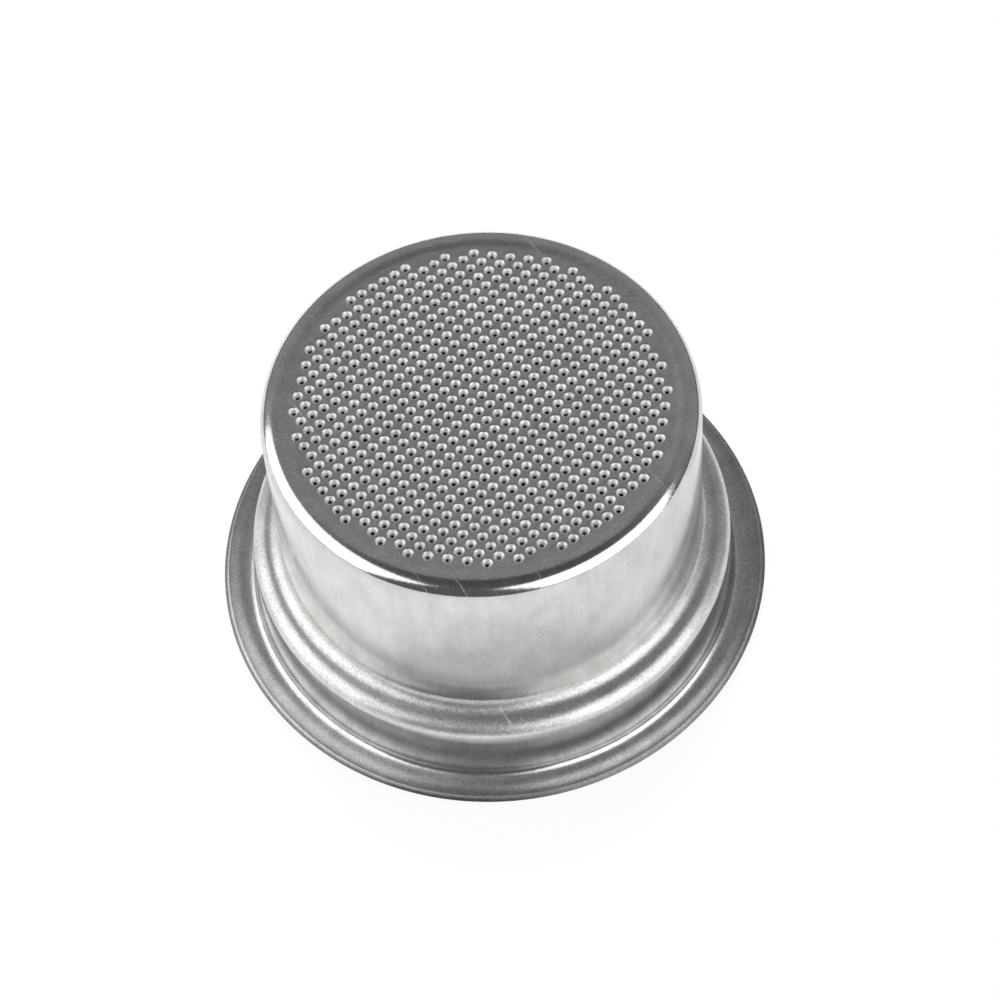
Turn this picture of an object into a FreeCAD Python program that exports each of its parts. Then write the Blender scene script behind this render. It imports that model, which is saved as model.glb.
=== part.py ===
import FreeCAD, Part
import os
from math import cos, hypot, radians, sin

import Sketcher
from FreeCAD import Placement, Rotation, Vector

# Filter basket of an espresso machine: one cup of stainless steel, drawn from a round blank of sheet.
# It stands with its mouth down and its perforated base up. The origin is the centre of the circle
# on which the rim rests, +Z is the basket's axis, and lengths are in millimetres, angles in degrees.
# The radius of a bend is that of the outer face, which is the one that shows on the standing basket.

SIZES = {
    # the sheet, and the cup as a whole
    "sheet_thickness": 0.6,
    "overall_height": 31.3,
    # the deep cup, which narrows a little towards its base
    "base_corner_radius": 1.6,
    "wall_foot_radius": 22.7,
    "wall_draft": 1.9,
    # the step that widens the cup at its mouth: a hollow bend, then a round one
    "shoulder_height": 9.1,
    "shoulder_foot_radius": 1.5,
    "shoulder_edge_radius": 1.9,
    # the short upright collar that drops into the holder's ring
    "collar_foot_radius": 1.0,
    # the rim, flat where the gasket presses and turned up at its edge
    "flange_flat_width": 0.515,
    "lip_radius": 2.3,
    "lip_angle": 55.3,
    # the sieve holes, on a square lattice, wide outside and narrow inside; the outermost keep the
    # field's margin from the edge of the flat base
    "hole_pitch": 3.0,
    "field_margin": 1.7,
    "hole_diameter": 0.5,
    "dimple_diameter": 1.1,
    # how far the punch that makes a hole goes past the inner face
    "punch_overrun": 0.1,
}
# How many straight facets stand for each bend, on the outer face and on the face inside the cup.
OUTER_FACETS = {"base_corner": 3, "shoulder_foot": 2, "shoulder_edge": 3, "collar_foot": 2, "lip": 2}
INNER_FACETS = {"base_corner": 2, "shoulder_foot": 2, "shoulder_edge": 2, "collar_foot": 2, "lip": 2}
HOLE_SIDES = 6

START, END, CENTRE = range(1, 4)
AXIS_ALONG, AXIS_UP = range(-1, -3, -1)

doc = FreeCAD.newDocument("filter_basket")
sheet = doc.addObject("Spreadsheet::Sheet", "Sizes")
for row, (name, value) in enumerate(SIZES.items(), start=1):
    sheet.set(f"A{row}", name)
    sheet.set(f"B{row}", str(value))
    sheet.setAlias(f"B{row}", name)
doc.recompute()


def size(name):
    """The value of one cell of the sheet."""
    return float(sheet.get(name))


def bind(sketch, constraint, expression):
    """Adds a driving dimension whose value comes from the sheet."""
    index = sketch.addConstraint(constraint)
    sketch.setExpression(f"Constraints[{index}]", expression)


def outer_bends():
    """The bends of the outer face: centre, radius, end on the steep side, and which way they turn.

    Each steep run is tangent to the bends above and below it, so its own direction and normal give
    the distance between their centres."""
    corner, foot = size("base_corner_radius"), size("shoulder_foot_radius")
    edge, root, lip = size("shoulder_edge_radius"), size("collar_foot_radius"), size("lip_radius")
    thickness, level = size("sheet_thickness"), size("shoulder_height")
    draft, turn = radians(size("wall_draft")), radians(size("lip_angle"))

    normal = Vector(cos(draft), sin(draft), 0)
    wall_foot = Vector(size("wall_foot_radius"), level + foot * (1 - sin(draft)), 0)
    rise = (size("overall_height") - corner - wall_foot.y + corner * sin(draft)) / cos(draft)
    wall_top = wall_foot + Vector(-sin(draft), cos(draft), 0) * rise
    foot_centre = wall_foot + normal * foot
    collar_radius = foot_centre.x + edge
    lip_centre = Vector(collar_radius + root + size("flange_flat_width"), thickness + lip, 0)
    return {
        "base_corner": (wall_top - normal * corner, corner, wall_top, "round"),
        "shoulder_foot": (foot_centre, foot, wall_foot, "hollow"),
        "shoulder_edge": (Vector(foot_centre.x, level - edge, 0), edge,
                          Vector(collar_radius, level - edge, 0), "round"),
        "collar_foot": (Vector(collar_radius + root, thickness + root, 0), root,
                        Vector(collar_radius, thickness + root, 0), "hollow"),
        "lip": (lip_centre, lip, lip_centre + Vector(sin(turn), -cos(turn), 0) * lip, "hollow"),
    }


def draw_facets(sketch, arc, count):
    """Equal chords along one construction arc, joined end to end."""
    curve = sketch.Geometry[arc]
    step = (curve.LastParameter - curve.FirstParameter) / count
    stops = [curve.value(curve.FirstParameter + step * index) for index in range(count + 1)]
    chords = [sketch.addGeometry(Part.LineSegment(*pair)) for pair in zip(stops, stops[1:])]
    sketch.addConstraint(Sketcher.Constraint("Coincident", chords[0], START, arc, START))
    sketch.addConstraint(Sketcher.Constraint("Coincident", chords[-1], END, arc, END))
    for chord, following in zip(chords, chords[1:]):
        sketch.addConstraint(Sketcher.Constraint("Coincident", chord, END, following, START))
        sketch.addConstraint(Sketcher.Constraint("PointOnObject", chord, END, arc))
        sketch.addConstraint(Sketcher.Constraint("Equal", chord, following))


def draw_face(sketch, bends, inside, facets):
    """One face of the sheet from the axis to the lip: straight runs, with a tangent arc at each bend.

    The face inside the cup lies one thickness deeper, so a round bend is tighter there by that much
    and a hollow one is wider."""
    depth = size("sheet_thickness") if inside else 0
    radii, steep, flat = {}, {}, {}
    for bend, (centre, radius, point, turn) in bends.items():
        radii[bend] = radius - depth if turn == "round" else radius + depth
        steep[bend] = centre + (point - centre) * (radii[bend] / radius)
        flat[bend] = centre + Vector(0, radii[bend] if turn == "round" else -radii[bend], 0)
    runs = {
        "base": (Vector(0, flat["base_corner"].y, 0), flat["base_corner"]),
        "wall": (steep["base_corner"], steep["shoulder_foot"]),
        "collar": (steep["shoulder_edge"], steep["collar_foot"]),
        "flange": (flat["collar_foot"], flat["lip"]),
    }
    drawn = {run: sketch.addGeometry(Part.LineSegment(*ends)) for run, ends in runs.items()}
    for bend, (centre, radius, point, turn) in bends.items():
        circle = Part.Circle(centre, Vector(0, 0, 1), radii[bend])
        ends = [circle.parameter(steep[bend]), circle.parameter(flat[bend])]
        arc = Part.ArcOfCircle(circle, *(reversed(ends) if bend == "lip" else ends))
        drawn[bend] = sketch.addGeometry(arc, True)

    joints = [
        ("base", END, "base_corner", END),
        ("wall", START, "base_corner", START),
        ("wall", END, "shoulder_foot", START),
        ("collar", START, "shoulder_edge", START),
        ("collar", END, "collar_foot", START),
        ("flange", START, "collar_foot", END),
        ("flange", END, "lip", START),
    ]
    for run, run_end, bend, bend_end in joints:
        sketch.addConstraint(Sketcher.Constraint("Tangent", drawn[run], run_end, drawn[bend], bend_end))
    foot, edge = drawn["shoulder_foot"], drawn["shoulder_edge"]
    sketch.addConstraint(Sketcher.Constraint("Vertical", foot, END, foot, CENTRE))
    if inside:
        # bends offset by the same depth still touch, so only the height of this end is left to set
        sketch.addConstraint(Sketcher.Constraint("Vertical", edge, END, edge, CENTRE))
    else:
        sketch.addConstraint(Sketcher.Constraint("Tangent", foot, END, edge, END))
    sketch.addConstraint(Sketcher.Constraint("PointOnObject", drawn["base"], START, AXIS_UP))
    sketch.addConstraint(Sketcher.Constraint("Horizontal", drawn["base"]))
    for bend, (centre, radius, point, turn) in bends.items():
        change = " - Sizes.sheet_thickness" if turn == "round" else " + Sizes.sheet_thickness"
        bind(sketch, Sketcher.Constraint("Radius", drawn[bend], radii[bend]),
             f"Sizes.{bend}_radius" + (change if inside else ""))
        draw_facets(sketch, drawn[bend], facets[bend])
    return drawn


def draw_section(sketch):
    """The closed section of the sheet, right of the axis: both faces, the cut edge and the axis."""
    bends = outer_bends()
    outer = draw_face(sketch, bends, False, OUTER_FACETS)
    inner = draw_face(sketch, bends, True, INNER_FACETS)
    for bend in bends:
        sketch.addConstraint(Sketcher.Constraint("Coincident", outer[bend], CENTRE, inner[bend], CENTRE))

    thickness, height = size("sheet_thickness"), size("overall_height")
    centre, radius, point, turn = bends["lip"]
    cut = sketch.addGeometry(Part.LineSegment(point, centre + (point - centre) * (1 + thickness / radius)))
    axis = sketch.addGeometry(Part.LineSegment(Vector(0, height - thickness, 0), Vector(0, height, 0)))
    sketch.addConstraint(Sketcher.Constraint("Coincident", cut, START, outer["lip"], END))
    sketch.addConstraint(Sketcher.Constraint("Coincident", cut, END, inner["lip"], END))
    sketch.addConstraint(Sketcher.Constraint("PointOnObject", outer["lip"], CENTRE, cut))
    sketch.addConstraint(Sketcher.Constraint("Coincident", axis, START, inner["base"], START))
    sketch.addConstraint(Sketcher.Constraint("Coincident", axis, END, outer["base"], START))

    level, draft, turn = size("shoulder_height"), size("wall_draft"), size("lip_angle")
    bind(sketch, Sketcher.Constraint("DistanceY", AXIS_ALONG, START, outer["base"], START, height),
         "Sizes.overall_height")
    bind(sketch, Sketcher.Constraint("Angle", outer["wall"], radians(draft - 90)), "Sizes.wall_draft - 90")
    bind(sketch, Sketcher.Constraint("DistanceX", AXIS_ALONG, START, outer["wall"], END,
                                     size("wall_foot_radius")), "Sizes.wall_foot_radius")
    bind(sketch, Sketcher.Constraint("DistanceY", AXIS_ALONG, START, outer["shoulder_foot"], END, level),
         "Sizes.shoulder_height")
    sketch.addConstraint(Sketcher.Constraint("Vertical", outer["collar"]))
    sketch.addConstraint(Sketcher.Constraint("Horizontal", outer["flange"]))
    bind(sketch, Sketcher.Constraint("DistanceY", AXIS_ALONG, START, outer["flange"], START, thickness),
         "Sizes.sheet_thickness")
    bind(sketch, Sketcher.Constraint("DistanceX", outer["flange"], START, outer["flange"], END,
                                     size("flange_flat_width")), "Sizes.flange_flat_width")
    bind(sketch, Sketcher.Constraint("Angle", cut, radians(turn - 90)), "Sizes.lip_angle - 90")


def draw_mouth(sketch):
    """The mouth of one sieve hole: a regular polygon about the sketch's origin."""
    radius = size("dimple_diameter") / 2
    rim = sketch.addGeometry(Part.Circle(Vector(), Vector(0, 0, 1), radius), True)
    turns = [Rotation(Vector(0, 0, 1), 360 * side / HOLE_SIDES) for side in range(HOLE_SIDES)]
    corners = [turn.multVec(Vector(radius, 0, 0)) for turn in turns]
    sides = [sketch.addGeometry(Part.LineSegment(*ends)) for ends in zip(corners, corners[1:] + corners[:1])]
    for side, following in zip(sides, sides[1:] + sides[:1]):
        sketch.addConstraint(Sketcher.Constraint("Coincident", side, END, following, START))
        sketch.addConstraint(Sketcher.Constraint("PointOnObject", side, START, rim))
    for side, following in zip(sides, sides[1:]):
        sketch.addConstraint(Sketcher.Constraint("Equal", side, following))
    sketch.addConstraint(Sketcher.Constraint("PointOnObject", sides[0], START, AXIS_ALONG))
    sketch.addConstraint(Sketcher.Constraint("Coincident", rim, CENTRE, AXIS_ALONG, START))
    bind(sketch, Sketcher.Constraint("Diameter", rim, 2 * radius), "Sizes.dimple_diameter")


def new_body(name):
    """An empty body and its origin planes by their role."""
    body = doc.addObject("PartDesign::Body", name)
    return body, {feature.Role: feature for feature in body.Origin.OriginFeatures}


def new_sketch(body, plane, name):
    """A sketch on one origin plane of its body."""
    sketch = body.newObject("Sketcher::SketchObject", name)
    sketch.AttachmentSupport = (plane, [""])
    sketch.MapMode = "FlatFace"
    return sketch


def make_cup():
    """The drawn cup before its base is perforated: the sheet's section turned about the axis."""
    body, planes = new_body("Cup")
    section = new_sketch(body, planes["XZ_Plane"], "Section")
    draw_section(section)
    turned = body.newObject("PartDesign::Revolution", "Drawn")
    turned.Profile = section
    turned.ReferenceAxis = (section, ["V_Axis"])
    turned.Angle = 360
    return body


def make_punch():
    """The tool that leaves one hole: a tapered pin that goes down through the middle of the base."""
    body, planes = new_body("Punch")
    mouth = new_sketch(body, planes["XY_Plane"], "Mouth")
    mouth.setExpression("AttachmentOffset.Base.z", "Sizes.overall_height")
    draw_mouth(mouth)
    pin = body.newObject("PartDesign::Pad", "Pin")
    pin.Profile = mouth
    pin.Reversed = True
    pin.setExpression("Length", "Sizes.sheet_thickness + Sizes.punch_overrun")
    doc.recompute()

    sides = [f"Face{index}" for index, face in enumerate(pin.Shape.Faces, start=1)
             if abs(face.normalAt(0, 0).z) < 0.5]
    top = [f"Face{index}" for index, face in enumerate(pin.Shape.Faces, start=1)
           if face.normalAt(0, 0).z > 0.5]
    taper = body.newObject("PartDesign::Draft", "Taper")
    taper.Base = (pin, sides)
    taper.NeutralPlane = (pin, top)
    taper.setExpression("Angle", "atan((Sizes.dimple_diameter - Sizes.hole_diameter)"
                                 " / (2 * Sizes.sheet_thickness))")
    taper.Reversed = True
    doc.recompute()
    if taper.Shape.Volume >= pin.Shape.Volume:
        raise RuntimeError("the punch doesn't narrow towards its tip")
    return body


def lattice():
    """Centres of the holes: a square lattice about the axis, as far as the flat base less its margin."""
    pitch = size("hole_pitch")
    base_edge, *_ = outer_bends()["base_corner"]
    reach = base_edge.x - size("field_margin")
    steps = int(reach / pitch + 0.5)
    line = [pitch * (index + 0.5) for index in range(-steps, steps)]
    return [Vector(across, along, 0) for across in line for along in line if hypot(across, along) <= reach]


cup = make_cup()
punch = make_punch()
holes = lattice()
punches = doc.addObject("App::Link", "Punches")
punches.LinkedObject = punch
punches.ShowElement = False
punches.ElementCount = len(holes)
punches.PlacementList = [Placement(centre, Rotation()) for centre in holes]

basket = doc.addObject("Part::Cut", "FilterBasket")
basket.Label = "filter_basket"
basket.Base = cup
basket.Tool = punches
basket.Placement = Placement(Vector(0, 0, 0), Rotation())
doc.recompute()

failed = [item.Name for item in doc.Objects if {"Invalid", "Error"} & set(item.State)]
if failed:
    raise RuntimeError(f"these objects failed: {failed}")
if basket.Shape.isNull() or not basket.Shape.isValid() or len(basket.Shape.Solids) != 1:
    raise RuntimeError("the basket isn't one valid solid")
if basket.Shape.Volume >= cup.Shape.Volume:
    raise RuntimeError("the holes cut nothing")

box = basket.Shape.BoundBox
print(f"filter_basket: {box.XLength:.2f} x {box.YLength:.2f} x {box.ZLength:.2f} mm,",
      f"{len(holes)} holes, {basket.Shape.Volume:.1f} mm3 of {cup.Shape.Volume:.1f}")
os.makedirs("parts", exist_ok=True)
basket.Shape.exportStep("parts/filter_basket.step")
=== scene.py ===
# %% [markdown]
# # An espresso filter basket in stainless steel
# The object is one cup, drawn from a round blank of sheet: a base punched with small holes, a deep wall,
# a stepped collar and a rim. It stands with its mouth down, so the perforated base is on top.
# The model from the CAD step is loaded as a fixed frame. All lengths here are in metres.

import bmesh
import bpy
import numpy as np
from mathutils import Matrix, Vector
from mathutils.geometry import delaunay_2d_cdt


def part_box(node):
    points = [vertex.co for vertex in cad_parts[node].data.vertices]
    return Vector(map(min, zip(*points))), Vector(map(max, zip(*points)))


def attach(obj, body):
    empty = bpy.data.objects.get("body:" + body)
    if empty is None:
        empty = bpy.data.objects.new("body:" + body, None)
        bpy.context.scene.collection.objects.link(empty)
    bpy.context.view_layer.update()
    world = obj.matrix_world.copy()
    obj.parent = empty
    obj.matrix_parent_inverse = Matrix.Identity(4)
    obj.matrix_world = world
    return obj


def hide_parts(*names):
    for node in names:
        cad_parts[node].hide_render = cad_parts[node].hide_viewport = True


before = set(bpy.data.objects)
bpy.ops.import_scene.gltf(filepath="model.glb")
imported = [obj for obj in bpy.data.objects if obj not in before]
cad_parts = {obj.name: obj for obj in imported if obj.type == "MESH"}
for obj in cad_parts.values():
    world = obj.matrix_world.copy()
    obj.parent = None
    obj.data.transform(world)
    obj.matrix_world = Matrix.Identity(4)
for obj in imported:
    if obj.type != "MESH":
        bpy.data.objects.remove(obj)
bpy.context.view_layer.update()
low, high = (np.array(corner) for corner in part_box("filter_basket"))
height, rim_radius = high[2], (high[0] - low[0]) / 2
print(f"basket: {2000 * rim_radius:.2f} mm across the rim, {1000 * height:.2f} mm high")

# %% [markdown]
# ## The section of the sheet
# A drawn cup is fully told by the section of its sheet. The outer face is a chain of straight runs with a
# round bend between each two, and the inner face lies one thickness deeper. A lathe modifier could turn a
# hand-drawn curve, but bends that are true arcs reflect as smooth bands, so the chain is worked out here.
# Nearly all sizes are those of the CAD model, but the bends are true arcs instead of facets. The collar,
# which is upright there, leans a little from a tighter shoulder, because in the photograph it widens
# towards the rim.

# %% Sizes of the sheet
MM = 0.001
THICKNESS = 0.6 * MM
WALL_FOOT = 22.7 * MM
WALL_DRAFT = np.radians(1.9)
SHOULDER_LEVEL = 9.1 * MM
COLLAR_DRAFT = np.radians(4)
LIP_TURN = np.radians(55.3)
BEND = {"corner": 1.6 * MM, "foot": 1.5 * MM, "edge": 1.75 * MM, "root": 1.0 * MM, "lip": 2.3 * MM}


def bend_centres():
    """Centres of the bends of the outer face, as (radius, height).

    Each steep run is tangent to the bends at its ends: a centre lies one bend radius from the run, along
    the run's normal (cos draft, sin draft), and the run's length follows from the two centres' heights.
    The lip's centre is the rim's radius less the lower face's reach, (lip + thickness) * sin turn."""
    normal = np.array([np.cos(WALL_DRAFT), np.sin(WALL_DRAFT)])
    wall_foot = np.array([WALL_FOOT, SHOULDER_LEVEL + BEND["foot"] * (1 - normal[1])])
    rise = (height - BEND["corner"] - wall_foot[1] + BEND["corner"] * normal[1]) / normal[0]
    wall_top = wall_foot + rise * np.array([-normal[1], normal[0]])
    foot = wall_foot + BEND["foot"] * normal
    edge = np.array([foot[0], SHOULDER_LEVEL - BEND["edge"]])
    drop = edge[1] - THICKNESS - BEND["root"]
    spread = drop * np.tan(COLLAR_DRAFT) + (BEND["edge"] + BEND["root"]) / np.cos(COLLAR_DRAFT)
    lip_reach = (BEND["lip"] + THICKNESS) * np.sin(LIP_TURN)
    return {
        "corner": wall_top - BEND["corner"] * normal,
        "foot": foot,
        "edge": edge,
        "root": np.array([edge[0] + spread, THICKNESS + BEND["root"]]),
        "lip": np.array([rim_radius - lip_reach, THICKNESS + BEND["lip"]]),
    }


centres = bend_centres()
collar_radius = centres["edge"][0] + BEND["edge"]
base_flat_radius = centres["corner"][0]
print(f"collar {2000 * collar_radius:.2f} mm across, flat base {2000 * base_flat_radius:.2f} mm across")

# %% The two faces as one chain each
TURNS = {  # first and last direction of each bend's arc, in radians, and whether the sheet is round there
    "corner": (np.pi / 2, WALL_DRAFT, True),
    "foot": (np.pi + WALL_DRAFT, 1.5 * np.pi, False),
    "edge": (np.pi / 2, COLLAR_DRAFT, True),
    "root": (np.pi + COLLAR_DRAFT, 1.5 * np.pi, False),
    "lip": (1.5 * np.pi, 1.5 * np.pi + LIP_TURN, False),
}
ARC_STEPS = {"corner": 14, "foot": 12, "edge": 14, "root": 12, "lip": 8}
RUN_STEPS = 6


def face_chain(depth, detail=1.0):
    """Points (radius, height) of one face from the base's flat edge to the lip.

    Every bend is an arc, centre + radius * (cos turn, sin turn), whose radius is smaller by the depth on a
    round bend and larger by it on a hollow one. The straight runs between arcs are divided evenly."""
    pieces = []
    for name, (first, last, is_round) in TURNS.items():
        radius = BEND[name] - depth if is_round else BEND[name] + depth
        turn = np.linspace(first, last, max(3, int(ARC_STEPS[name] * detail)) + 1)
        arc = centres[name] + radius * np.column_stack([np.cos(turn), np.sin(turn)])
        if pieces and np.linalg.norm(arc[0] - pieces[-1][-1]) > 1e-7:
            share = np.linspace(0, 1, RUN_STEPS + 1)[1:-1, None]
            pieces.append(pieces[-1][-1] * (1 - share) + arc[0] * share)
            pieces.append(arc)
        else:
            pieces.append(arc if not pieces else arc[1:])
    return np.vstack(pieces)


outer = face_chain(0.0)
inner = face_chain(THICKNESS, 0.6)
print(f"outer face {len(outer)} rings, inner face {len(inner)}, rim ends at {1000 * inner[-1, 0]:.2f} mm")

# %% [markdown]
# ## The lattice of holes
# The base is punched from outside on a square lattice, and only the places within a round field are used.
# Each hole is a dimple like a small funnel, wide outside and narrow inside. A texture of dots would look
# right from afar, but the real dimples catch light on one wall and are dark at the bottom, so each is cut.
# Comparing a square grid of places with the field's radius picks them all in one step.

# %% Places of the holes
PITCH = 1.355 * MM
FIELD_RADIUS = 13.73 * PITCH


def lattice():
    """Centres of the holes: odd halves of the pitch both ways, kept where they lie within the field."""
    steps = int(FIELD_RADIUS / PITCH) + 1
    line = (np.arange(-steps, steps) + 0.5) * PITCH
    across, along = np.meshgrid(line, line)
    places = np.column_stack([across.ravel(), along.ravel()])
    return places[np.hypot(*places.T) <= FIELD_RADIUS]


holes = lattice()
print(f"{len(holes)} holes")

# %% [markdown]
# ## From grids to faces
# Most of the skin is a grid of points: rings along the section, columns round the axis. A screw modifier
# could sweep the section too, but with arrays the same two helpers also serve the small funnels.

# %% Helpers that turn grids into faces
def grid_faces(rows, columns):
    """Quads between the rows of a grid whose vertices are numbered row by row and whose columns close up.

    The quad at row i and column j joins (i, j), (i, j+1), (i+1, j+1) and (i+1, j)."""
    i, j = np.meshgrid(np.arange(rows - 1), np.arange(columns), indexing="ij")
    here, following = i * columns + j, i * columns + (j + 1) % columns
    return np.stack([here, following, following + columns, here + columns], axis=-1).reshape(-1, 4)


def turned(chain, columns):
    """A chain of (radius, height) carried round the axis: (radius cos a, radius sin a, height)."""
    angle = np.linspace(0, 2 * np.pi, columns, endpoint=False)
    radius, level = chain[:, 0, None], chain[:, 1, None]
    points = np.stack([radius * np.cos(angle), radius * np.sin(angle), level + 0 * angle], axis=-1)
    return points.reshape(-1, 3), grid_faces(len(chain), columns)


COLUMNS = 240
print(f"wall of the skin: {len(turned(outer, COLUMNS)[1])} quads in {COLUMNS} columns")

# %% [markdown]
# ## The dished base
# Punching hundreds of holes stretches the base, which sinks half a millimetre inwards and shades the steel
# softly. Sculpting could press it in, but a bowl over the field and a smooth step outside it are exact.

# %% The dish
PLATE_EDGE = FIELD_RADIUS + 0.7 * MM
DISH_STEP, DISH_BOW = 0.19 * MM, 0.35 * MM


def dish(radius):
    """Depth of the base below its border: step + bow (1 - (r / field)^2) over the field of holes, and a
    smooth share 3 s^2 - 2 s^3 of it from the border, where s = 0, to the plate's edge, where s = 1."""
    within = DISH_STEP + DISH_BOW * (1 - (radius / FIELD_RADIUS) ** 2)
    share = np.clip((base_flat_radius - radius) / (base_flat_radius - PLATE_EDGE), 0, 1)
    return within * share**2 * (3 - 2 * share)


print(f"depth {dish(0.0) / MM:.2f} mm in the middle, {dish(FIELD_RADIUS) / MM:.2f} mm at the outermost holes")

# %% [markdown]
# ## The plate between the holes
# A boolean cut of six hundred holes is slow and leaves long thin faces. Here the plate is filled with
# triangles between fixed circles instead, one circle for each hole and one for the edge.

# %% Fill the plate
HOLE_COLUMNS = 12


def plate(depth, hole_radius):
    """A dished round plate with round holes, as triangles.

    A constrained Delaunay triangulation takes the circle of the edge and the circles of the holes as fixed
    edges. Triangles whose middle lies inside a hole are dropped, and the dish gives each point its height."""
    angle = np.linspace(0, 2 * np.pi, COLUMNS, endpoint=False)
    edge = PLATE_EDGE * np.column_stack([np.cos(angle), np.sin(angle)])
    angle = np.linspace(0, 2 * np.pi, HOLE_COLUMNS, endpoint=False)
    circle = hole_radius * np.column_stack([np.cos(angle), np.sin(angle)])
    rings = (holes[:, None, :] + circle[None, :, :]).reshape(-1, 2)
    start = COLUMNS + HOLE_COLUMNS * np.arange(len(holes))[:, None]
    spoke = np.arange(HOLE_COLUMNS)[None, :]
    following = (spoke + 1) % HOLE_COLUMNS
    hole_edges = np.stack([start + spoke, start + following], axis=-1).reshape(-1, 2)
    rim = np.arange(COLUMNS)
    edges = np.vstack([np.column_stack([rim, (rim + 1) % COLUMNS]), hole_edges])
    # the triangulation works on numbers near one, so lengths go in as millimetres
    flat = np.vstack([edge, rings]) / MM
    points, _, triangles, *_ = delaunay_2d_cdt(flat.tolist(), edges.tolist(), [], 1, 1e-6)
    points, triangles = np.array(points) * MM, np.array(triangles)
    middle = points[triangles].mean(axis=1)
    nearest = (np.floor(middle / PITCH) + 0.5) * PITCH
    inside = np.linalg.norm(middle - nearest, axis=1) < hole_radius
    inside &= np.hypot(*nearest.T) <= FIELD_RADIUS
    return np.column_stack([points, height - depth - dish(np.hypot(*points.T))]), triangles[~inside]


print(f"each hole is a ring of {HOLE_COLUMNS} points, {HOLE_COLUMNS * len(holes)} points in all")

# %% [markdown]
# ## One dimple
# The punch rolls the sheet in at the mouth, leaves a steep funnel and breaks through in a short throat.
# The section is a chain of rings, and copying its points to every place of the lattice is one addition.
# The first ring lies flat round the mouth, so that the plate between the mouths stays smooth.

# %% Section of a dimple
DIMPLE = np.array([  # radius and depth below the outer face, in millimetres
    [0.62, 0.0],
    [0.54, 0.010],
    [0.47, 0.06],
    [0.42, 0.13],
    [0.24, 0.40],
    [0.20, 0.60],
]) * MM


def dimples():
    """All funnels at once: every ring (radius cos a, radius sin a, -depth) added to every place, less the
    depth of the dish there."""
    chain = np.column_stack([DIMPLE[:, 0], height - DIMPLE[:, 1]])
    points, faces = turned(chain, HOLE_COLUMNS)
    places = np.column_stack([holes, np.zeros(len(holes))])
    shifted = (places[:, None, :] + points[None, :, :]).reshape(-1, 3)
    shifted[:, 2] -= dish(np.hypot(shifted[:, 0], shifted[:, 1]))
    numbered = (len(points) * np.arange(len(holes))[:, None, None] + faces[None, :, :]).reshape(-1, 4)
    return shifted, numbered


print(f"one dimple has {HOLE_COLUMNS * (len(DIMPLE) - 1)} faces")

# %% [markdown]
# ## The basket as one closed skin
# The outer face, the cut edge, the inner face, both plates and the funnels meet along shared circles.
# Their points are put into one mesh and merged, so the skin is closed and the sheet has its thickness. A
# solidify modifier would give the thickness too, but it can't narrow the funnels towards the inside.

# %% The cut edge and the plain border
CUT_BULGE = 0.1 * THICKNESS
CUT_STEPS, BORDER_STEPS = 4, 6


def cut_edge():
    """The sheet's cut end at the lip: the straight line from face to face plus bulge * sin(pi share)."""
    share = np.linspace(0, 1, CUT_STEPS + 1)[:, None]
    out = np.array([np.cos(LIP_TURN), np.sin(LIP_TURN)])
    return outer[-1] * (1 - share) + inner[-1] * share + CUT_BULGE * np.sin(np.pi * share) * out


def border(depth):
    """Points (radius, height) across the plain border of the base, from the plate's edge to the corner:
    even steps of the radius, each as deep as the dish is there."""
    radius = np.linspace(PLATE_EDGE, base_flat_radius, BORDER_STEPS + 1)[:-1]
    return np.column_stack([radius, height - depth - dish(radius)])


print(f"border {(base_flat_radius - PLATE_EDGE) / MM:.2f} mm wide, cut edge of {len(cut_edge())} rings")

# %% Join the parts of the skin
def skin():
    """Vertices and faces of the whole basket, before merging."""
    section = np.vstack([border(0), outer, cut_edge()[1:-1], inner[::-1], border(THICKNESS)[::-1]])
    parts = [
        turned(section, COLUMNS),
        plate(0, DIMPLE[0, 0]),
        plate(THICKNESS, DIMPLE[-1, 0]),
        dimples(),
    ]
    faces, offset = [], 0
    for points, part_faces in parts:
        faces += (part_faces + offset).tolist()
        offset += len(points)
    return np.vstack([points for points, _ in parts]), faces


skin_points, skin_faces = skin()
print(f"{len(skin_points)} points and {len(skin_faces)} faces before merging")

# %% Merge them into one mesh
MERGE_DISTANCE = 0.002 * MM
SHARP_ANGLE = np.radians(42)


def make_mesh(name, points, faces):
    """A mesh merged along its shared circles, with smooth faces that point outwards."""
    mesh = bpy.data.meshes.new(name)
    mesh.from_pydata(points.tolist(), [], faces)
    work = bmesh.new()
    work.from_mesh(mesh)
    bmesh.ops.remove_doubles(work, verts=work.verts, dist=MERGE_DISTANCE)
    bmesh.ops.recalc_face_normals(work, faces=work.faces)
    open_edges = sum(not edge.is_manifold for edge in work.edges)
    work.to_mesh(mesh)
    work.free()
    mesh.shade_smooth()
    mesh.set_sharp_from_angle(angle=SHARP_ANGLE)
    triangles = sum(len(polygon.vertices) - 2 for polygon in mesh.polygons)
    print(f"{name}: {triangles} triangles, {open_edges} open edges")
    return mesh


basket = bpy.data.objects.new("basket_skin", make_mesh("basket_skin", skin_points, skin_faces))
bpy.context.scene.collection.objects.link(basket)
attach(basket, "root")
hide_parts("filter_basket")
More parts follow.
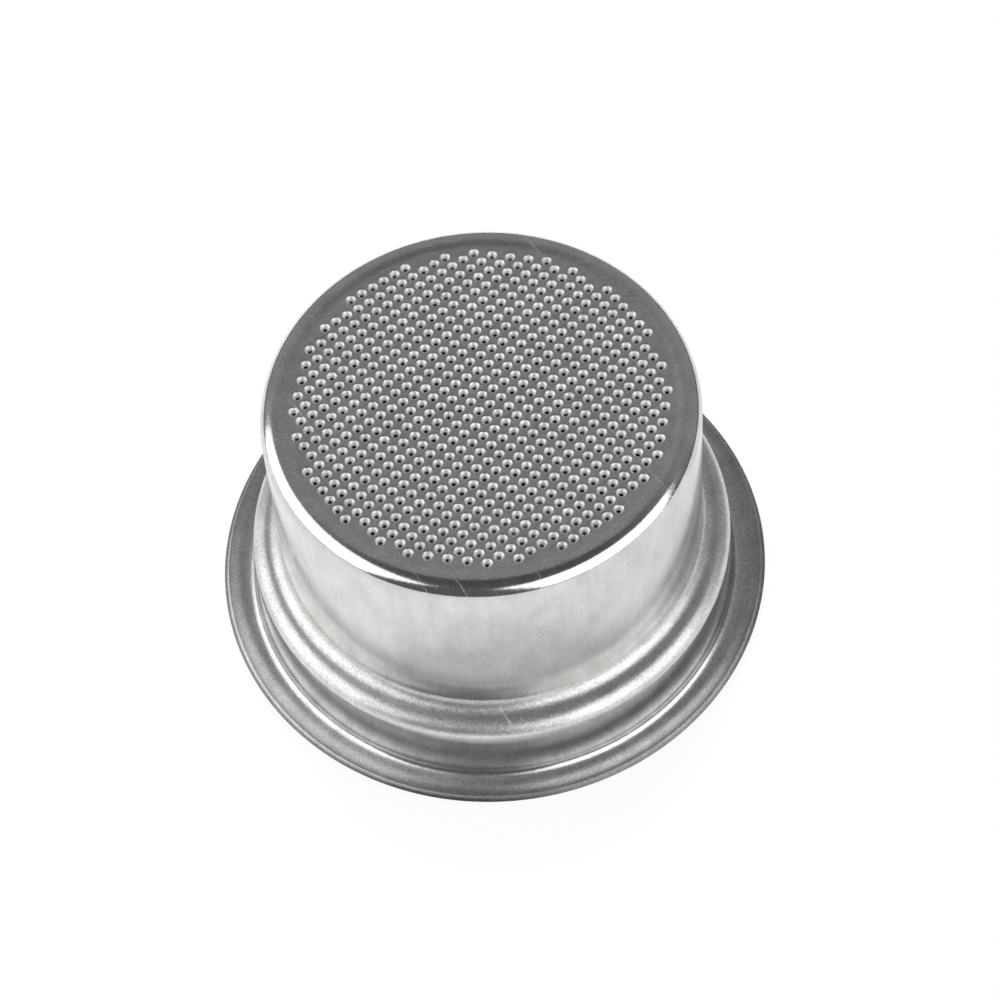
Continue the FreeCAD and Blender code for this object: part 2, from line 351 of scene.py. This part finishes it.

# %% [markdown]
# ## Where the sheet is polished and where it is matt, and where light and shade are painted
# Drawing leaves the wall and the collar bright, but the sheet that was stretched over the shoulder and the
# rim comes out grainy, and the punched funnels are dull. Painting a mask by hand would work too, but here
# three numbers per point, worked out from its radius and height, tell the material how matt the sheet is,
# where the funnels are given a painted lightening and where the trimmed edge is given a painted shade.

# %% Marks for the finish
SHOULDER_LEVELS, SHOULDER_BLUR = (8.0 * MM, 10.3 * MM), 0.8 * MM
RIM_START, RIM_BLUR = centres["root"][0] - 0.5 * MM, 0.6 * MM
BASE_MATT, BASE_DEPTH, BASE_BLUR = 0.6, 0.6 * MM, 0.4 * MM
FUNNEL_DEPTHS, FUNNEL_BLUR = (0.05 * MM, 0.7 * MM), 0.06 * MM
# band along the trimmed edge that is given a painted shade
EDGE_SHADE_WIDTH, EDGE_SHADE_BLUR = 0.35 * MM, 0.3 * MM
BEYOND = 2  # twice the height or the radius lies past all of the basket


def window(value, first, last, blur):
    """1 between two limits and 0 outside them: the product of two straight flanks, each one blur wide."""
    return np.clip((value - first) / blur + 0.5, 0, 1) * np.clip((last - value) / blur + 0.5, 0, 1)


def mark_finish(mesh):
    """Writes three attributes per point: matt, on shoulder, rim and base, punched, in the funnels, which sets
    their roughness and their painted lightening, and cut, along the sheet's trimmed end, which sets its
    painted shade. Each is a window of the point's radius, level or depth below the dish."""
    points = np.empty(3 * len(mesh.vertices))
    mesh.vertices.foreach_get("co", points)
    points = points.reshape(-1, 3)
    radius, level = np.hypot(points[:, 0], points[:, 1]), points[:, 2]
    shoulder = window(level, *SHOULDER_LEVELS, SHOULDER_BLUR) * (radius < centres["edge"][0] + BEND["edge"])
    rim = window(radius, RIM_START, BEYOND * rim_radius, RIM_BLUR)
    base = BASE_MATT * window(level, height - BASE_DEPTH, BEYOND * height, BASE_BLUR)
    base *= radius < base_flat_radius
    depth = height - dish(radius) - level
    marked = {
        "matt": np.maximum(np.maximum(shoulder, rim), base),
        # punched also carries the funnels' painted lightening, besides their roughness
        "punched": window(depth, *FUNNEL_DEPTHS, FUNNEL_BLUR) * (radius < PLATE_EDGE),
        # cut carries the trimmed edge's painted shade
        "cut": window(radius, rim_radius - EDGE_SHADE_WIDTH, BEYOND * rim_radius, EDGE_SHADE_BLUR),
    }
    for name, values in marked.items():
        mesh.attributes.new(name, "FLOAT", "POINT").data.foreach_set("value", values)
        print(f"{name}: mean {values.mean():.2f} over {len(values)} points")


mark_finish(basket.data)

# %% [markdown]
# ## Helpers for materials
# A material is a small graph of nodes. It could be wired by hand in the editor, but a few helpers let the
# script read like the formula that the graph works out.

# %% Node helpers
def link(tree, *pairs):
    """Joins sockets, each pair given as (output, input)."""
    for output, socket in pairs:
        tree.links.new(output, socket)


def calculate(tree, operation, *values):
    """A Math node over outputs or plain numbers, whose own output is returned."""
    node = tree.nodes.new("ShaderNodeMath")
    node.operation = operation
    for socket, value in zip(node.inputs, values):
        if isinstance(value, (int, float)):
            socket.default_value = value
        else:
            tree.links.new(value, socket)
    return node.outputs[0]


def blend(tree, share, first, second):
    """The mix first (1 - share) + second share of two colours, each a colour or an output."""
    node = tree.nodes.new("ShaderNodeMix")
    node.data_type = "RGBA"
    tree.links.new(share, node.inputs["Factor"])
    for socket, value in zip((node.inputs["A"], node.inputs["B"]), (first, second)):
        if isinstance(value, tuple):
            socket.default_value = value
        else:
            tree.links.new(value, socket)
    return node.outputs["Result"]


def mask(tree, name):
    """The value of one of the mesh's own attributes."""
    node = tree.nodes.new("ShaderNodeAttribute")
    node.attribute_name = name
    return node.outputs["Fac"]


print("helpers: link, calculate, blend, mask")

# %% [markdown]
# ## Marks of the tools
# Bare stainless steel has no colour of its own to speak of. What makes it look real are the fine marks of
# the tools: grain where the sheet was stretched, lines drawn down the wall, turning lines round the collar,
# a few stray scratches, and faint clouds left by wiping. Painted images could show them, but noise on
# Object coordinates needs no image, has no seam, and is as fine as the marks are on the real sheet: it is
# squeezed in the direction that the marks run across.

# %% Patterns
PATTERNS = {  # marks per metre along x, y and z, and octaves of detail
    "grain": ((4500, 4500, 4500), 3.0),
    "drawn": ((2200, 2200, 60), 2.0),
    "turning": ((60, 60, 5200), 2.0),
    "scratch": ((2600, 45, 45), 2.0),
    "cloud": ((420, 420, 260), 4.0),
}
SCRATCH_TURN = (0.5, 0.4, 0.6)
SCRATCH_LIMIT = 0.72


def patterns(tree):
    """The noises by name, each between 0 and 1, and the scratches as 1 where their noise is past a limit."""
    place = tree.nodes.new("ShaderNodeTexCoord").outputs["Object"]
    found = {}
    for name, (scale, detail) in PATTERNS.items():
        mapping = tree.nodes.new("ShaderNodeMapping")
        mapping.inputs["Rotation"].default_value = SCRATCH_TURN if name == "scratch" else (0, 0, 0)
        mapping.inputs["Scale"].default_value = scale
        noise = tree.nodes.new("ShaderNodeTexNoise")
        noise.inputs["Scale"].default_value = 1.0
        noise.inputs["Detail"].default_value = detail
        link(tree, (place, mapping.inputs["Vector"]), (mapping.outputs[0], noise.inputs["Vector"]))
        found[name] = noise.outputs["Fac"]
    found["scratch"] = calculate(tree, "GREATER_THAN", found["scratch"], SCRATCH_LIMIT)
    return found


print("patterns:", ", ".join(PATTERNS))

# %% [markdown]
# ## Reflectance, with painted light and shade
# Steel sends back about six tenths of the light. The funnels are given a lighter colour, a painted lightening
# for the light that their walls scatter among themselves, and the trimmed edge a dark colour, a painted
# shade.
# Each would be a material of its own if the change were sharp. It is soft, so one material mixes them by the
# attributes, and the marks vary the sum.

# %% Colour of the steel, with painted light and shade
STEEL_COLOUR = (0.60, 0.60, 0.59, 1)
# painted lightening: the funnel walls are given a lighter colour than the steel, for the light they scatter
# among themselves
FUNNEL_PAINTED_LIGHT = (0.85, 0.85, 0.84, 1)
# painted shade: the trimmed edge is made dark
EDGE_PAINTED_SHADE = (0.16, 0.16, 0.16, 1)
CLEAR = 0.96
CLOUD_SHADE, DRAWN_SHADE, GRAIN_SHADE, MATT_GRAIN_SHADE = 0.45, 0.16, 0.35, 0.75


def steel_colour_and_painted_light(tree, noise, matt):
    """The steel's colour, lightened in the funnels and darkened on the trimmed edge as painted light and
    shade, times clear + sum of strength (noise - 1/2) over cloud, drawn lines and grain.
    """
    # painted lightening of the funnels
    colour = blend(tree, mask(tree, "punched"), STEEL_COLOUR, FUNNEL_PAINTED_LIGHT)
    # painted shade on the trimmed edge
    colour = blend(tree, mask(tree, "cut"), colour, EDGE_PAINTED_SHADE)
    cloud, drawn, grain = (
        calculate(tree, "SUBTRACT", noise[name], 0.5) for name in ("cloud", "drawn", "grain"))
    speckle = calculate(tree, "MULTIPLY_ADD", matt, MATT_GRAIN_SHADE, GRAIN_SHADE)
    shade = calculate(tree, "MULTIPLY_ADD", cloud, CLOUD_SHADE, CLEAR)
    shade = calculate(tree, "MULTIPLY_ADD", drawn, DRAWN_SHADE, shade)
    shade = calculate(tree, "MULTIPLY_ADD", grain, speckle, shade)
    tint = tree.nodes.new("ShaderNodeVectorMath")
    tint.operation = "SCALE"
    link(tree, (colour, tint.inputs[0]), (shade, tint.inputs["Scale"]))
    return tint.outputs[0]


print(f"reflectance {STEEL_COLOUR[0]} on the sheet, {EDGE_PAINTED_SHADE[0]} on its cut edge")

# %% [markdown]
# ## Polish and relief
# How sharp a reflection is comes from the roughness, and its unevenness from the relief. Displacing the
# mesh by a hundredth of a millimetre would need millions of faces, so the relief is a bump.

# %% Roughness and bump of the steel
POLISHED = 0.13
MATT_ROUGH, PUNCHED_ROUGH, DRAWN_ROUGH, SCRATCH_ROUGH = 0.22, 0.35, 0.06, 0.10
GRAIN_RELIEF, MATT_GRAIN_RELIEF = 0.06, 0.5
DRAWN_RELIEF, TURNING_RELIEF, SCRATCH_RELIEF = 0.10, 0.05, -0.08
BUMP_HEIGHT = 0.05 * MM


def steel_roughness(tree, noise, matt):
    """Polished plus a strength times each of matt, punched, drawn lines and scratches."""
    rough = calculate(tree, "MULTIPLY_ADD", matt, MATT_ROUGH, POLISHED)
    rough = calculate(tree, "MULTIPLY_ADD", mask(tree, "punched"), PUNCHED_ROUGH, rough)
    rough = calculate(tree, "MULTIPLY_ADD", noise["drawn"], DRAWN_ROUGH, rough)
    return calculate(tree, "MULTIPLY_ADD", noise["scratch"], SCRATCH_ROUGH, rough)


def steel_bump(tree, noise, matt):
    """A normal from the height grain (a + b matt) + strengths times drawn lines, turning and scratches."""
    strength = calculate(tree, "MULTIPLY_ADD", matt, MATT_GRAIN_RELIEF, GRAIN_RELIEF)
    relief = calculate(tree, "MULTIPLY", noise["grain"], strength)
    relief = calculate(tree, "MULTIPLY_ADD", noise["drawn"], DRAWN_RELIEF, relief)
    relief = calculate(tree, "MULTIPLY_ADD", noise["turning"], TURNING_RELIEF, relief)
    relief = calculate(tree, "MULTIPLY_ADD", noise["scratch"], SCRATCH_RELIEF, relief)
    bump = tree.nodes.new("ShaderNodeBump")
    bump.inputs["Strength"].default_value = 1.0
    bump.inputs["Distance"].default_value = BUMP_HEIGHT
    link(tree, (relief, bump.inputs["Height"]))
    return bump.outputs[0]


print(f"roughness from {POLISHED} on the wall to {POLISHED + MATT_ROUGH:.2f} on shoulder and rim")

# %% Stainless steel
def steel():
    """A metallic surface with the colour, roughness and bump of the cells above."""
    material = bpy.data.materials.new("stainless_steel_skin")
    material.use_nodes = True
    tree = material.node_tree
    shader = tree.nodes["Principled BSDF"]
    shader.inputs["Metallic"].default_value = 1.0
    noise, matt = patterns(tree), mask(tree, "matt")
    link(tree,
         (steel_colour_and_painted_light(tree, noise, matt), shader.inputs["Base Color"]),
         (steel_roughness(tree, noise, matt), shader.inputs["Roughness"]),
         (steel_bump(tree, noise, matt), shader.inputs["Normal"]))
    print(f"{material.name}: {len(tree.nodes)} nodes")
    return material


basket.data.materials.append(steel())

# %% [markdown]
# ## The table
# The basket stands on a white table that is almost pure white in the picture and still takes a shadow. A
# brighter lamp would bleach the steel as well, so the table glows a little instead: most of what the camera
# sees of it is glow, and a small part of what the steel sees.

# %% Table
TABLE_HALF = 0.3
PAINT = 0.8
CAMERA_SHARE, STEEL_SHARE = 0.93, 0.1
MOUTH_RADIUS = float(centres["root"][0])


def table_paint():
    """White paint mixed with glow. The glow's share is camera share * is camera ray + steel share * is
    mirrored ray, and nought under the cup, where no light comes in."""
    material = bpy.data.materials.new("white_table")
    material.use_nodes = True
    tree = material.node_tree
    tree.nodes.clear()
    paint = tree.nodes.new("ShaderNodeBsdfDiffuse")
    paint.inputs["Color"].default_value = (PAINT, PAINT, PAINT, 1)
    glow = tree.nodes.new("ShaderNodeEmission")
    glow.inputs["Color"].default_value = (1, 1, 1, 1)
    path = tree.nodes.new("ShaderNodeLightPath")
    mirrored = calculate(tree, "MAXIMUM", path.outputs["Is Glossy Ray"], path.outputs["Is Transmission Ray"])
    mirrored = calculate(tree, "MULTIPLY", mirrored, STEEL_SHARE)
    share = calculate(tree, "MULTIPLY_ADD", path.outputs["Is Camera Ray"], CAMERA_SHARE, mirrored)
    distance = tree.nodes.new("ShaderNodeVectorMath")
    distance.operation = "LENGTH"
    link(tree, (tree.nodes.new("ShaderNodeTexCoord").outputs["Object"], distance.inputs[0]))
    outside = calculate(tree, "GREATER_THAN", distance.outputs["Value"], MOUTH_RADIUS)
    mix = tree.nodes.new("ShaderNodeMixShader")
    output = tree.nodes.new("ShaderNodeOutputMaterial")
    link(tree,
         (calculate(tree, "MULTIPLY", share, outside), mix.inputs["Fac"]),
         (paint.outputs[0], mix.inputs[1]),
         (glow.outputs[0], mix.inputs[2]),
         (mix.outputs[0], output.inputs["Surface"]))
    return material


def make_table():
    """A square sheet at the level on which the rim rests."""
    corners = TABLE_HALF * np.array([(-1, -1, 0), (1, -1, 0), (1, 1, 0), (-1, 1, 0)])
    mesh = bpy.data.meshes.new("table")
    mesh.from_pydata(corners.tolist(), [], [(0, 1, 2, 3)])
    mesh.materials.append(table_paint())
    table = bpy.data.objects.new("table", mesh)
    bpy.context.scene.collection.objects.link(table)
    print(f"table {2 * TABLE_HALF:.1f} m square")


make_table()

# %% [markdown]
# ## The room
# Polished steel is a mirror, so what is dark in it has to be dark in the room: the space in front and
# overhead. Behind it is a dim grey room. Walls could be built for this, but the world's own colour by
# direction is simpler, and it has no edges. The camera sees it as plain white.

# %% Room
BACK = (0.51, 0.86, 0)
FRONT_GREYS = (0.50, 0.01), (0.53, 0.14), (0.9, 0.12), (1.0, 0.10)
BACK_GREYS = (0.50, 0.02), (0.53, 0.35), (0.93, 0.30), (0.97, 0.10)
BLEND_SLOPE, BLEND_LEVEL = 2.5, 0.2


def ramp(tree, value, stops):
    """A grey scale over a value, with stops given as (value, grey)."""
    node = tree.nodes.new("ShaderNodeValToRGB")
    elements = node.color_ramp.elements
    while len(elements) < len(stops):
        elements.new(0.5)
    for element, (position, grey) in zip(elements, stops):
        element.position = position
        element.color = (grey, grey, grey, 1)
    tree.links.new(value, node.inputs["Fac"])
    return node.outputs["Color"]


def room_grey(tree):
    """The grey of a direction d: two scales over (1 + d_z) / 2, one in front and one behind, mixed by
    slope * (d . back) + level, kept between 0 and 1."""
    direction = tree.nodes.new("ShaderNodeTexCoord").outputs["Generated"]
    split = tree.nodes.new("ShaderNodeSeparateXYZ")
    along = tree.nodes.new("ShaderNodeVectorMath")
    along.operation = "DOT_PRODUCT"
    along.inputs[1].default_value = BACK
    link(tree, (direction, split.inputs[0]), (direction, along.inputs[0]))
    up = calculate(tree, "MULTIPLY_ADD", split.outputs["Z"], 0.5, 0.5)
    behind = calculate(tree, "MULTIPLY_ADD", along.outputs["Value"], BLEND_SLOPE, BLEND_LEVEL)
    behind = calculate(tree, "MINIMUM", calculate(tree, "MAXIMUM", behind, 0.0), 1.0)
    return blend(tree, behind, ramp(tree, up, FRONT_GREYS), ramp(tree, up, BACK_GREYS))


def make_room():
    """The world: white for camera rays, and the room's greys for all others."""
    world = bpy.data.worlds.new("room")
    bpy.context.scene.world = world
    world.use_nodes = True
    tree = world.node_tree
    tree.nodes.clear()
    steel_sees = tree.nodes.new("ShaderNodeBackground")
    camera_sees = tree.nodes.new("ShaderNodeBackground")
    camera_sees.inputs["Color"].default_value = (1, 1, 1, 1)
    path = tree.nodes.new("ShaderNodeLightPath")
    mix = tree.nodes.new("ShaderNodeMixShader")
    output = tree.nodes.new("ShaderNodeOutputWorld")
    link(tree,
         (room_grey(tree), steel_sees.inputs["Color"]),
         (path.outputs["Is Camera Ray"], mix.inputs["Fac"]),
         (steel_sees.outputs[0], mix.inputs[1]),
         (camera_sees.outputs[0], mix.inputs[2]),
         (mix.outputs[0], output.inputs["Surface"]))
    print(f"world: {len(tree.nodes)} nodes")


make_room()

# %% [markdown]
# ## The lamps
# A tall softbox stands on each side, close enough that its image in the steel is a broad white band. The
# table gets its light from a small lamp behind and above, which reflections do not show. Sun lamps would
# give hard points in the steel instead of bands.

# %% Lamps
def softbox(name, azimuth, elevation, distance, width, length, brightness, in_reflections=True):
    """A rectangular area lamp that looks at the basket from an azimuth and an elevation in degrees.

    The power of a lamp with brightness b and area A is pi * b * A."""
    lamp = bpy.data.lights.new(name, "AREA")
    lamp.shape = "RECTANGLE"
    lamp.size, lamp.size_y = width, length
    lamp.energy = np.pi * brightness * width * length
    box = bpy.data.objects.new(name, lamp)
    turn, lift = np.radians([azimuth, elevation])
    place = Vector((np.cos(lift) * np.cos(turn), np.cos(lift) * np.sin(turn), np.sin(lift))) * distance
    box.matrix_world = Matrix.Translation(place) @ (-place).to_track_quat("-Z", "Y").to_matrix().to_4x4()
    box.visible_glossy = in_reflections
    bpy.context.scene.collection.objects.link(box)
    print(f"{name}: {lamp.energy:.2f} W")


softbox("left_box", azimuth=154, elevation=32, distance=0.5, width=0.70, length=0.62, brightness=1.8)
softbox("right_box", azimuth=-73, elevation=29, distance=0.5, width=0.64, length=0.55, brightness=2.0)
softbox("table_lamp", azimuth=59, elevation=66, distance=0.6, width=0.09, length=0.09, brightness=100,
        in_reflections=False)

# %% [markdown]
# ## Camera
# The photograph is taken with a short telephoto lens from about 58 degrees above the table, slightly
# rolled. A camera could be matched by eye, but its place was worked out from the lattice of holes instead,
# whose rows are straight and evenly spaced.

# %% Camera
CAMERA_PLACE = Vector((-61.162, -102.404, 205.226)) * MM
CAMERA_AIM = Vector((0.082, -2.117, 15.0)) * MM
CAMERA_ROLL = np.radians(-4.74)
LENS, SENSOR = 76.46, 36  # in millimetres, as Blender takes them
NEAREST = 0.01


def make_camera():
    """A camera at its place, looking at the aim, then rolled about its own line of sight."""
    data = bpy.data.cameras.new("camera")
    data.lens = LENS
    data.sensor_width = SENSOR
    data.clip_start = NEAREST
    camera = bpy.data.objects.new("camera", data)
    turn = (CAMERA_AIM - CAMERA_PLACE).to_track_quat("-Z", "Y").to_matrix().to_4x4()
    camera.matrix_world = Matrix.Translation(CAMERA_PLACE) @ turn @ Matrix.Rotation(CAMERA_ROLL, 4, "Z")
    bpy.context.scene.collection.objects.link(camera)
    bpy.context.scene.camera = camera
    print(f"camera {1000 * (CAMERA_AIM - CAMERA_PLACE).length:.0f} mm from its aim")


make_camera()
bpy.context.scene.view_settings.view_transform = "Standard"
